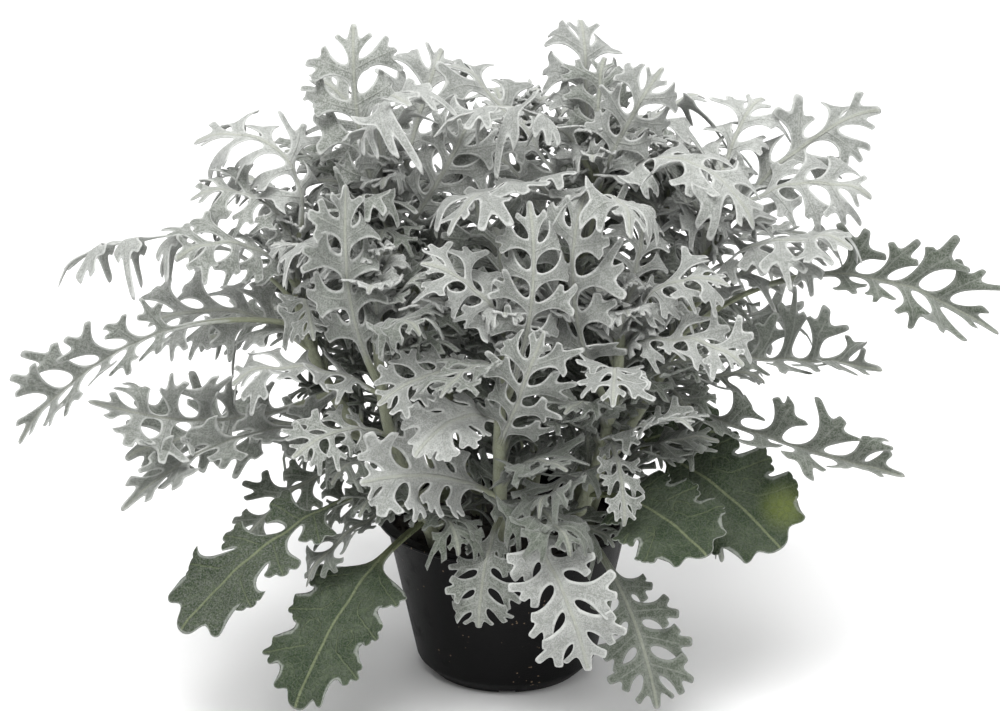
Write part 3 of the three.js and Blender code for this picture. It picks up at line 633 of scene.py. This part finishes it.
def cut_lobe(net, base, axis, reach, neck, head, form, luck):
    """Cuts one lobe out of the edge between two points: a neck, a head and three fingers. Returns
    the points that it grew."""
    forward = Vector((axis.y, -axis.x, 0)) * (1 if axis.y > 0 else -1)
    foot = (base[0].co + base[1].co) / 2
    skew = luck.uniform(-0.12, 0.12)

    def at(u, v):
        return foot + axis * (u * reach) + forward * (v + skew * u * reach)

    neck_row = grow(net, base, [at(0.3, -neck), at(0.28, neck)])
    row = grow(net, neck_row, [at(0.52, -head), at(0.56, head * 0.95)])
    rear_split = split(net, row[0], row[1], luck.uniform(0.28, 0.38))
    front_split = split(net, rear_split, row[1], luck.uniform(0.46, 0.58))
    grown = neck_row + [row[0], rear_split, front_split, row[1]]
    rear_split.co += axis * reach * 0.08
    front_split.co += axis * reach * 0.08
    bases = [(row[0], rear_split), (rear_split, front_split), (front_split, row[1])]
    lengths = luck.choice(FINGER_SHARES)
    for (rear, front), (length, heading), share in zip(bases, form["fingers"], lengths):
        angle = math.radians(heading + luck.uniform(-10, 10))
        way = axis * math.cos(angle) + forward * math.sin(angle)
        out = way * (length * share * reach * luck.uniform(0.85, 1.1))
        middle = (rear.co + front.co) / 2
        flat = Vector((-way.y, way.x, 0)) * ((front.co - rear.co).length * 0.5)
        if flat.dot(front.co - rear.co) < 0:
            flat.negate()
        width = form["blunt"] * luck.uniform(0.85, 1.1)
        grown += grow(net, [rear, front], [middle + out - flat * width, middle + out + flat * width])
    return grown


# What each point of a leaf remembers for its felt: whether it is on the rim, how far it is from
# the rib and from the nearest side vein, how far out, how much it is stalk, its age and tone. While
# the leaf is bent it also knows its lobe.
MARKS = ("rim", "rib", "vein", "reach", "stalk", "age", "tone")
LOBE_MARKS = ("lobe", "lobed")
FAR = 9                     # a distance from the rib or a vein at which neither shows


def cut_leaf(rib, form, luck):
    """Cuts a leaf out flat: its stalk and rib, then the lobes at each side and at the end."""
    net = bmesh.new()
    for name in MARKS + LOBE_MARKS:
        net.verts.layers.float.new(name)
    lobe, lobed = (net.verts.layers.float[name] for name in LOBE_MARKS)
    room = (LOBED_SHARE * rib.length - rib.blade_start) / form["pairs"]
    lean = math.radians(form["angle"])
    head = form["head"] * room * math.sin(lean) / 2
    neck = form["neck"] * room * math.sin(lean) / 2
    stagger = luck.choice((-1, 1)) * luck.uniform(0.06, 0.14) * room

    def half(along):
        if along < rib.blade_start:
            return STALK_HALF_WIDTH + (NECK_HALF_WIDTH - STALK_HALF_WIDTH) * along / rib.blade_start
        share = (along - rib.blade_start) / (LOBED_SHARE * rib.length - rib.blade_start)
        body = part_way(form["body"], min(share, 1)) * rib.half_width
        return max(
            form["web"] * (1 - 0.25 * along / rib.length),
            body * rib.fullness(along, form["swell"]))

    def places(along, shift=0):
        return [Vector((along + side * shift, side * half(along), 0)) for side in (-1, 0, 1)]

    row = [net.verts.new(place) for place in places(0)]
    for pair in zip(row, row[1:]):
        net.edges.new(pair)
    for share in (0.3, 0.62, 0.93):
        row = grow(net, row, places(rib.blade_start * share))
    bases = []
    for pair in range(form["pairs"]):
        centre = rib.blade_start + room * (pair + 0.5)
        opening = form["opening"] * room / 2
        near = grow(net, row, places(centre - opening, stagger))
        row = grow(net, near, places(centre + opening, stagger))
        bases += [(centre - stagger, -1, near[0], row[0]), (centre + stagger, 1, near[2], row[2])]
    axes = []
    for centre, side, rear, front in bases:
        heading = lean + math.radians(luck.uniform(-9, 9))
        axis = direction(side * heading, 0)
        full = rib.half_width * rib.fullness(centre, form["swell"]) * luck.uniform(0.84, 1.06)
        reach = (full - half(centre)) / math.sin(lean)
        for vert in cut_lobe(net, [rear, front], axis, reach, neck, head, form, luck):
            vert[lobe], vert[lobed] = len(axes), 1
        axes.append((Vector((centre, side * half(centre), 0)), side, axis, reach))
    end = row[1].co.x
    rest = rib.length - end
    spread = max(head * 0.8, form["body"][1] * rib.half_width * 0.8)
    flare = 1.1 if form["body"][1] else 2.1
    row = grow(net, row, [Vector((end + rest * 0.45, side * spread, 0)) for side in (-1, 0, 1)])
    left = split(net, row[0], row[1], 0.5)
    right = split(net, row[1], row[2], 0.5)
    for side, pair in ((-1, [row[0], left]), (1, [row[2], right])):
        grow(net, pair, [
            Vector((end + rest * luck.uniform(0.58, 0.7), side * spread * flare, 0)),
            Vector((end + rest * luck.uniform(0.76, 0.86), side * spread * flare * 0.78, 0))])
    point = luck.uniform(1.06, 1.14)
    grow(net, [left, row[1], right], [
        Vector((end + rest * (point - 0.1 * abs(side)), side * spread * 0.4, 0))
        for side in (-1, 0, 1)])
    for face in net.faces:
        face.normal_update()
        if face.normal.z < 0:
            face.normal_flip()
    return net, axes


def curled(length, angle):
    """How much nearer and how much lower the end of a length lies once an angle bends it."""
    angle += 0.001
    return length * (1 - math.sin(angle) / angle), length * (1 - math.cos(angle)) / angle


def off_axis(spot, axes, number):
    """How far a point of the flat leaf is out along a lobe's axis, and how far beside it."""
    foot, side, axis, reach = axes[number]
    from_foot = spot - foot
    return from_foot.dot(axis), (from_foot.x * axis.y - from_foot.y * axis.x) * side


def bend_leaf(net, rib, axes, age, hook, luck):
    """Bends a flat leaf into its place and notes what its felt depends on."""
    marks = [net.verts.layers.float[name] for name in MARKS]
    lobe, lobed = (net.verts.layers.float[name] for name in LOBE_MARKS)
    flesh = net.verts.layers.deform.verify()
    unrest = min(0.2 + hook, 1)
    hooks = [hook + luck.gauss(0, 0.8) * unrest for _ in axes]
    cups = [luck.uniform(-0.4, 1.3) * unrest for _ in axes]
    twists = [luck.gauss(0, 0.65) * unrest for _ in axes]
    rises = [luck.gauss(-0.15 * hook, 0.24 * unrest) for _ in axes]
    end_hook = min(hook, 1.5) * 0.6 + luck.gauss(0, 0.25) * unrest
    end_twist = luck.gauss(0, 0.6) * unrest
    phase = luck.uniform(0, 6)
    tone = luck.random()
    for vert in net.verts:
        along, aside = vert.co.x, vert.co.y
        bent_along, bent_aside, lift = along, aside, 0
        if vert[lobed]:
            number = round(vert[lobe] / vert[lobed])
            out, beside = off_axis(vert.co, axes, number)
            axis, reach = axes[number][2:]
            share = max(out / reach, 0)
            past = (share - HOOK_SHARE) * reach
            if past > 0:
                nearer, lower = curled(past, hooks[number] * past / reach)
                bent_along -= axis.x * nearer
                bent_aside -= axis.y * nearer
                lift -= lower
            share = min(share, 1.3)
            lift += cups[number] * beside ** 2 / max(reach, 6) * share
            lift += twists[number] * beside * share + rises[number] * out * share
        past = along - TIP_SHARE * rib.length
        if past > 0:
            share = past / (0.2 * rib.length)
            nearer, lower = curled(past, end_hook * share)
            bent_along -= nearer
            lift += end_twist * aside * share * (1 - vert[lobed]) - lower
        wave = math.sin(along * 0.16 + phase) * min(abs(aside) / rib.half_width, 1)
        lift += wave * rib.half_width * 0.07
        if along > rib.blade_start:
            lift += noise.noise(Vector((along / 10, aside / 8, phase * 9))) * CRUMPLE
        rim = 1.0 if vert.is_boundary else 0.0
        stalk = max(1 - along / rib.blade_start, 0)
        ridge = max(1 - abs(aside) / STALK_HALF_WIDTH, 0)
        rib_thickness = STALK * (0.45 + 0.55 * stalk) * (1 - 0.55 * min(along / rib.length, 1))
        blade = BLADE + (FELT_EDGE - BLADE) * rim * (1 - age)
        thickness = max(blade, rib_thickness * ridge ** 0.5)
        if along < rib.blade_start:
            thickness = max(thickness, STALK * 0.62)
        vert[flesh][0] = min(thickness / STALK, 1)
        if along <= rib.blade_start * 0.6:
            rim = 0
        veins = [off_axis(vert.co, axes, n)[1] for n, axis in enumerate(axes) if axis[1] * aside > 0]
        vein = min(veins, key=abs, default=FAR)
        reach = min(abs(aside) / rib.half_width, 1)
        for mark, value in zip(marks, (rim, aside, vein, reach, stalk, age, tone)):
            vert[mark] = value
        vert.co = rib.place(bent_along, bent_aside, lift) * MM


def smoothed(net, *steps):
    """A copy of a net after the modifiers that each step adds to it."""
    sheet = set_out("sheet", as_mesh("sheet", net))
    for step in steps:
        step(sheet)
    worn_in(sheet)
    result = bmesh.new()
    result.from_mesh(sheet.data)
    old = sheet.data
    bpy.data.objects.remove(sheet)
    bpy.data.meshes.remove(old)
    return result


def round_once(sheet):
    soft = sheet.modifiers.new("round", "SUBSURF")
    soft.levels = soft.render_levels = 1


def round_but_tips(sheet):
    """Rounds a cut-out leaf, but leaves the fingers' ends blunt."""
    round_once(sheet)
    sheet.modifiers["round"].boundary_smooth = "PRESERVE_CORNERS"


def thicken(sheet):
    sheet.vertex_groups.new(name="flesh")
    thick = sheet.modifiers.new("thickness", "SOLIDIFY")
    thick.thickness = STALK * MM
    thick.offset = 0
    thick.vertex_group = "flesh"
    thick.thickness_vertex_group = 0
    thick.material_offset = 1
    thick.material_offset_rim = 1


def join(body, other):
    """Adds another bmesh to a body."""
    part = as_mesh("part", other)
    body.from_mesh(part)
    bpy.data.meshes.remove(part)


def leaves_mesh(jobs, luck_name, *finishing):
    """Leaves as one bmesh: cut out flat, rounded, bent, thickened and finished."""
    nets = []
    for number, (rib, form, age, hook) in enumerate(jobs):
        luck = random.Random(f"{luck_name} {number}")
        net, axes = cut_leaf(rib, form, luck)
        net = smoothed(net, round_once if form["body"][1] else round_but_tips)
        bend_leaf(net, rib, axes, age, hook, luck)
        nets.append(net)
    whole = bmesh.new()
    for net in nets:
        join(whole, net)
    return smoothed(whole, *finishing)


def add_stem(body, name):
    """A tapering woody stem with slightly swollen joints, closed at both ends."""
    rings = []
    previous = None
    marks = {key: body.verts.layers.float[key] for key in MARKS}
    for step in range(STEM_STEPS + 1):
        share = step / STEM_STEPS
        centre = stem_point(name, share)
        ahead = stem_point(name, min(share + 0.01, 1.0))
        way = (ahead - stem_point(name, max(share - 0.01, 0))).normalized()
        side = Vector((1, 0, 0))
        side = (side - way * side.dot(way)).normalized()
        up = way.cross(side)
        radius = part_way(STEM_RADII, share)
        radius *= 1 + STEM_JOINTS * math.sin(step * 2.4)
        turn = Matrix((side, up, way)).transposed().to_4x4()
        spot = Matrix.Translation(centre * MM)
        ring = bmesh.ops.create_circle(
            body, segments=STEM_SIDES, radius=radius * MM, cap_ends=step in (0, STEM_STEPS),
            matrix=spot @ turn)["verts"]
        for vert in ring:
            vert[marks["stalk"]] = 1
            vert[marks["rib"]] = FAR
            vert[marks["vein"]] = FAR
            vert[marks["age"]] = STEM_AGE * (1 - share)
        edges = {edge for vert in ring for edge in vert.link_edges}
        if previous:
            bmesh.ops.bridge_loops(body, edges=list(previous | edges))
        previous = edges
        rings.append(ring)
    faces = {face for ring in rings for vert in ring for face in vert.link_faces}
    bmesh.ops.recalc_face_normals(body, faces=list(faces))


def leaf_marks(start):
    """The marks of a leaf's points, for its finish."""
    return {
        key: start.make("ShaderNodeAttribute", {}, {"attribute_name": key}, output=2) for key in MARKS}


def within(distance, inner, outer):
    """1 where a distance to either side is under inner, and 0 where it is over outer."""
    return 1 - distance.maths("ABSOLUTE", distance).between(inner, outer)


def felt(name, worn, young_colour, old_colour):
    """White felt over a grey-green skin: thickest on edges and veins, worn in specks."""
    material, start = new_finish(name)
    mark = leaf_marks(start)
    fine = start.mottle(0.6, 3, 0.7)
    clumps = start.mottle(2.4, 3, 0.6)
    cloudy = start.mottle(9, 3)
    age = mark["age"] + cloudy * 0.3 - 0.15
    edge = mark["rim"].between(0.62, 0.98)
    rib_line = within(mark["rib"], 0.35, 0.95)
    rib_band = within(mark["rib"], 0.8, 3.5)
    vein_line = within(mark["vein"], 0.1, 0.5) * within(mark["reach"], 0.5, 0.95)
    bald = (fine * 0.65 + clumps * 0.35).between(0.42, 0.58)
    threadbare = bald * (0.45 + 0.55 * age.between(0.0, 0.9)) * worn
    edge = edge * (0.28 + 0.5 * clumps.between(0.3, 0.6)) * (1 - 0.75 * age.between(0.2, 1.0))
    colour = start.mixed(age.between(0.0, 1.0), young_colour, old_colour).under(
        (threadbare, (0.035, 0.05, 0.027)),
        (mark["tone"] * 0.45, (0.12, 0.127, 0.118)),
        (vein_line * 0.3, (0.32, 0.335, 0.3)),
        (rib_band * (0.4 - age * 0.25), (0.45, 0.46, 0.43)),
        (rib_line * 0.45, (0.32, 0.335, 0.27)),
        (mark["stalk"].between(0.0, 0.5) * 0.8, (0.29, 0.312, 0.2)),
        (edge, (0.56, 0.57, 0.55)))
    height = fine * 0.4 + clumps * 0.9 + rib_line * 0.5 + vein_line * 0.3
    coat(start, {
        "Base Color": colour,
        "Roughness": 0.85 + fine * 0.12,
        "Normal": start.relief(height, 0.9),
        "Specular IOR Level": 0.15,
        "Sheen Weight": 0.25,
        "Sheen Roughness": 0.6,
    })
    return material


silver_felt = felt("silver_felt", 0.85, (0.43, 0.44, 0.422), (0.145, 0.162, 0.132))
# The underside's felt, also used on the edge walls: real felt with fewer bald specks, but its colours
# are lowered as painted shade for undersides that face away from the light.
underside_felt_painted_shade = felt("underside_felt_with_painted_shade", 0.4, (0.36, 0.372, 0.35), (0.17, 0.185, 0.15))


def solid_surface(*nodes):
    """CAD nodes as one surface to feel for, in millimetres."""
    points, faces = [], []
    for node in nodes:
        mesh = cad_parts[node].data
        mesh.calc_loop_triangles()
        first = len(points)
        points += [vert.co / MM for vert in mesh.vertices]
        faces += [tuple(first + corner for corner in t.vertices) for t in mesh.loop_triangles]
    return BVHTree.FromPolygons(points, faces)


HEART_LEAVES = 6
HEART_ROOTS = (0.88, 1)
HEART_CLIMB = (38, 72)
HEART_LENGTH = (38, 21)


def heart_leaves(name, luck):
    """The tuft of young leaves that unfold at the tip of a shoot, curled and almost white."""
    jobs = []
    for number in range(HEART_LEAVES):
        share = number / (HEART_LEAVES - 1)
        root = stem_point(name, part_way(HEART_ROOTS, share))
        heading = math.radians(GOLDEN_ANGLE * number + luck.uniform(-15, 15))
        climb = math.radians(part_way(HEART_CLIMB, share))
        length = part_way(HEART_LENGTH, share)
        tip = root + direction(heading, climb) * length
        spec = leaf("young", 1, tip, arch=length * 0.22, width=0.9, curl=0.7)
        jobs.append((Rib(spec, root, tip, 0), FORMS["young"], 0.0, 1.6))
    return jobs


# Small leaves from the axils fill the inside of the plant wherever there is room. Their numbers
# are in the order of the stems.
SIDE_LEAVES = dict(zip(STEMS, (13, 13, 12, 12, 12, 18, 17, 6, 6, 6)))
SIDE_ROOTS = (0.2, 0.98)
SIDE_WAYS = 12              # headings that each one tries
SIDE_CLIMBS = (5, 30, 55, 75)   # and degrees above the level
SIDE_LENGTH = (46, 68)
SIDE_ROOM = 9               # air that it looks for
SIDE_LIMIT = 112            # how far from the pot's axis its tip may reach
SIDE_FLOOR = 78             # height that it stays above

all_leaves = solid_surface(*(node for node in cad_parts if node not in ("pot", "soil")))
side_marks = []


def side_leaves(name, luck):
    """Small leaves along a stem, each turned to where it finds most air."""
    jobs = []
    for number in range(SIDE_LEAVES[name]):
        at = part_way(SIDE_ROOTS, (number + 0.5) / SIDE_LEAVES[name])
        root = stem_point(name, at)
        taken = KDTree(len(side_marks))
        for index, mark in enumerate(side_marks):
            taken.insert(mark, index)
        taken.balance()
        best = None
        for turn in range(SIDE_WAYS):
            heading = math.radians(360 / SIDE_WAYS * turn + luck.uniform(-12, 12))
            for climb in SIDE_CLIMBS:
                length = luck.uniform(*SIDE_LENGTH) * (1 - 0.2 * at)
                tip = root + direction(heading, math.radians(climb)) * length
                spec = leaf("small", at, tip, arch=length * 0.14, width=1.1)
                rib = Rib(spec, root, tip, luck.uniform(-20, 20))
                points = feelers(rib, FORMS["small"])
                room = crowd = low = 0
                for point in points:
                    room += all_leaves.find_nearest(point, SIDE_ROOM)[3] or SIDE_ROOM
                    crowd += sum(SIDE_ROOM - found[2] for found in taken.find_range(point, SIDE_ROOM))
                    low += max(SIDE_FLOOR - point.z, 0)
                stray = max(math.hypot(tip.x, tip.y * 1.1) - SIDE_LIMIT, 0)
                score = (room - crowd - low * 0.5) / len(points) - stray * 0.2
                if best is None or score > best[0]:
                    best = (score, rib, points)
        # Their age, highest for leaves low on the stem, darkens and greens the small leaves deep
        # inside the plant: partly real ageing, partly painted shade.
        jobs.append((best[1], FORMS["small"], min(1.5 - at, 1.0), luck.uniform(0.3, 1.7)))
        side_marks.extend(best[2])
    return jobs


for name, leaves in LEAVES.items():
    surface = solid_surface(name)
    jobs = []
    for spec in leaves:
        rib = find_rib(spec, name, surface)
        age = min(max(1.05 - spec["at"], 0), 0.9) if spec["age"] is None else spec["age"]
        hook = spec["hook"] or (2.1 * spec["at"] if spec["tip"].z > 190 else 0.8)
        jobs.append((rib, FORMS[spec["form"]], age, hook))
    body = leaves_mesh(jobs, name, thicken, round_once)
    small = heart_leaves(name, random.Random(name))
    small += side_leaves(name, random.Random(name + " side"))
    join(body, leaves_mesh(small, name + " small", thicken))
    add_stem(body, name)
    new_piece(name + "_felted", body, [silver_felt, underside_felt_painted_shade], [name])


# ------------------------------ old leaves
# Five of the plant's first leaves, broader and less cut, which have lost most of their felt:
# dull green with paler veins and a thin white margin. Each stalk grows from the side of a stem.

FORMS.update({
    "lyrate": leaf_form(
        bare=0.3, pairs=3, angle=68, reach=0.24, widths=(0.58, 0.44, 0.8), swell=(0.8, 1.1), web=1.4,
        body=(-0.4, 0.85), blunt=1, fingers=((0.16, -40), (0.22, 0), (0.16, 36))),
    "ovate": leaf_form(
        bare=0.26, pairs=3, angle=62, reach=0.36, widths=(0.94, 0.86, 0.8), swell=(0.95, 0.62),
        web=2, body=(0.7, 0.62), blunt=0.8, fingers=((0.2, -24), (0.46, 0), (0.24, 24))),
    "round": leaf_form(
        bare=0.26, pairs=3, angle=62, reach=0.36, widths=(0.96, 0.88, 0.82), swell=(0.85, 0.95),
        web=2, body=(0.66, 0.74), blunt=0.95, fingers=((0.2, -24), (0.3, 0), (0.2, 22))),
})

OLD_LEAVES = [
    ("shoot_front_left", leaf(
        "lyrate", 0.5, (-132, -82, 52), arch=12, width=0.78, roll=-20, curl=0.1, age=0.5)),
    ("shoot_front_left", leaf(
        "ovate", 0.3, (-86, -96, 24), arch=14, toward=246, width=0.66, bare=0.38, curl=0.1)),
    ("shoot_front_right", leaf("round", 0.4, (80, -84, 86), roll=25, bare=0.3, width=0.9, curl=0.1)),
    ("shoot_right", leaf("round", 0.36, (112, -50, 74), roll=30, bare=0.34, width=0.9, curl=0.1)),
    ("shoot_right", leaf("round", 0.28, (90, 8, 106), arch=6, roll=25, bare=0.4, curl=0.1)),
]

VEIN_CELL = 3               # width of the meshes in the net of fine veins
PAINTED_HIGHLIGHT_SPOT = (0.114, -0.038, 0.088)    # where a yellow-green painted highlight lies on one old leaf, in metres

old_green, start = new_finish("old_green_leaf")
mark = leaf_marks(start)
fine = start.mottle(0.7, 3, 0.65)
cloudy = start.mottle(12, 3)
edge = mark["rim"].between(0.82, 1.0)
rib_line = within(mark["rib"], 0.3, 0.9)
vein_line = within(mark["vein"], 0.1, 0.6)
vein_net = 1 - start.cells(VEIN_CELL, feature="DISTANCE_TO_EDGE").between(0.0, 0.16)
thin_felt = fine.between(0.35, 0.68) * (0.34 + (1 - mark["age"]) * 0.9)
from_spot = start.make(
    "ShaderNodeVectorMath", {0: start.place(), 1: PAINTED_HIGHLIGHT_SPOT}, {"operation": "DISTANCE"}, output=1)
# Painted highlight: a yellow-green pool of light painted round one spot on an old leaf.
painted_highlight = 1 - from_spot.between(0.001, 0.014)
green = start.mixed(cloudy.between(0.35, 0.65), (0.018, 0.034, 0.013), (0.045, 0.062, 0.036)).under(
    (thin_felt, (0.142, 0.149, 0.133)),
    (painted_highlight * 0.55, (0.17, 0.21, 0.04)),
    (vein_net * 0.22, (0.12, 0.15, 0.085)),
    (vein_line * 0.45, (0.15, 0.18, 0.1)),
    (rib_line * 0.6, (0.2, 0.23, 0.13)),
    (mark["stalk"].between(0.0, 0.4) * 0.8, (0.19, 0.21, 0.115)),
    (edge * 0.5, (0.38, 0.4, 0.37)))
height = fine * 0.4 + start.mottle(3, 4, 0.6) * 1.3 - rib_line * 0.5 - vein_line * 0.5 - vein_net * 0.4
coat(start, {
    "Base Color": green,
    "Roughness": 0.7 + fine * 0.2,
    "Normal": start.relief(height, 0.9),
    "Specular IOR Level": 0.22,
})

for number, (shoot, spec) in enumerate(OLD_LEAVES, start=1):
    node = f"old_leaf_{number}"
    rib = find_rib(spec, shoot, solid_surface(node))
    job = (rib, FORMS[spec["form"]], spec["age"] or 1.0, 0.0)
    body = leaves_mesh([job], node, thicken, round_once)
    new_piece(node + "_green", body, [old_green, underside_felt_painted_shade], [node])


# ------------------------------ studio
# A plain pale floor, wide soft lights from above left and from the right, and the camera in
# front of the plant, a little above it.

CAMERA_FROM = 2000          # distance from the camera to what it looks at
CAMERA_RISE = 22            # degrees above the level
CAMERA_LENS = 171.4
FILM_WIDTH = 36
RIM_SPOT = (-2.9, 0, 70)    # beside the middle of the pot's rim
ABOVE_RIM = 64.5            # from there up to the middle of the view
LIT_SPOT = (0, 0, 0.14)     # in metres, as the lamps' places are
FLOOR_REACH = 8

pale, start = new_finish("pale_floor")
coat(start, {"Base Color": (0.9, 0.9, 0.9, 1), "Roughness": 0.9, "Specular IOR Level": 0})
ground = bmesh.new()
bmesh.ops.create_grid(ground, x_segments=1, y_segments=1, size=FLOOR_REACH)
floor = set_out("floor", as_mesh("floor", ground))
floor.data.materials.append(pale)

world = bpy.data.worlds.new("studio")
bpy.context.scene.world = world
world.use_nodes = True
sky = world.node_tree.nodes["Background"].inputs
sky["Color"].default_value = (1, 1, 1, 1)
sky["Strength"].default_value = 0.45


def soft_light(name, place, size, power):
    lamp = bpy.data.lights.new(name, "AREA")
    lamp.size = size
    lamp.energy = power
    light = set_out(name, lamp)
    light.location = place
    light.rotation_euler = (Vector(LIT_SPOT) - Vector(place)).to_track_quat("-Z", "Y").to_euler()


soft_light("key", (-0.3, -0.9, 2.3), 1.8, 77)
soft_light("fill", (1.6, -1.4, 1.4), 1.8, 18)
soft_light("back", (0.3, 1.5, 1.8), 1.4, 22)

rise = math.radians(CAMERA_RISE)
view_up = Vector((0, math.sin(rise), math.cos(rise)))
target = Vector(RIM_SPOT) * MM + view_up * (ABOVE_RIM * MM)
lens = bpy.data.cameras.new("camera")
lens.lens = CAMERA_LENS
lens.sensor_width = FILM_WIDTH
camera = set_out("camera", lens)
camera.location = target + Vector((0, -math.cos(rise), math.sin(rise))) * CAMERA_FROM * MM
camera.rotation_euler = (math.radians(90) - rise, 0, 0)
bpy.context.scene.camera = camera
bpy.context.scene.view_settings.view_transform = "Standard"
